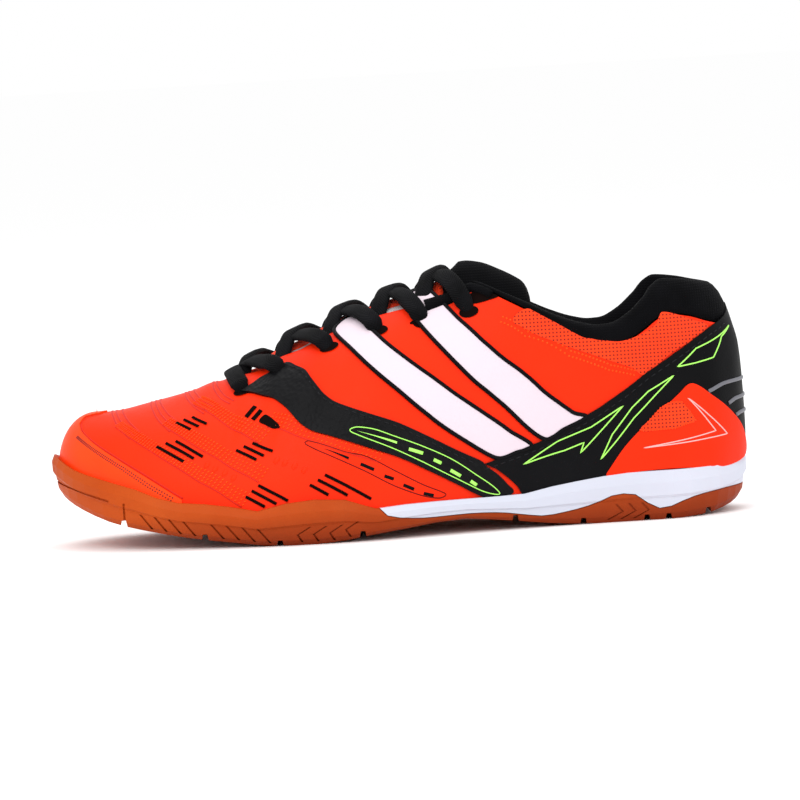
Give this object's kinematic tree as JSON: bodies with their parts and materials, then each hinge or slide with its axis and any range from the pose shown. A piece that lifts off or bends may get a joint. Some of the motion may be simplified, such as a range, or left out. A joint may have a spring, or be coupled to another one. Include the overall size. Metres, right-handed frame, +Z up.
{
  "type": "indoor court shoe",
  "caption": "Low-cut indoor court shoe for the left foot, with a hollow upper, laced throat, padded collar, gum rubber cup sole and a foam midsole behind the ball.",
  "frame": {"origin": "on the floor under the middle of the shoe's box", "axes": "+Z up, the toe points to -X and the heel to +X, the outer side of the foot faces -Y"},
  "size_m": [0.2854, 0.1044, 0.1061],
  "materials": {
    "outsole": "satin gum rubber",
    "midsole": "matte white foam",
    "upper": "soft grained synthetic",
    "toe_cap": "smooth synthetic",
    "heel_saddle": "black synthetic",
    "eyestay_panel_outer": "black synthetic",
    "eyestay_panel_inner": "black synthetic",
    "collar": "black knit lining",
    "insole": "black brushed fabric",
    "tongue": "padded knit",
    "lace": "flat woven black"
  },
  "bodies": {
    "root": {"outsole": "outsole", "midsole": "midsole", "upper": "upper", "toe_cap": "toe_cap", "heel_saddle": "heel_saddle", "eyestay_panel_outer": "eyestay_panel_outer", "eyestay_panel_inner": "eyestay_panel_inner", "collar": "collar", "insole": "insole", "tongue": "tongue", "lace": "lace"}
  },
  "joints": []
}
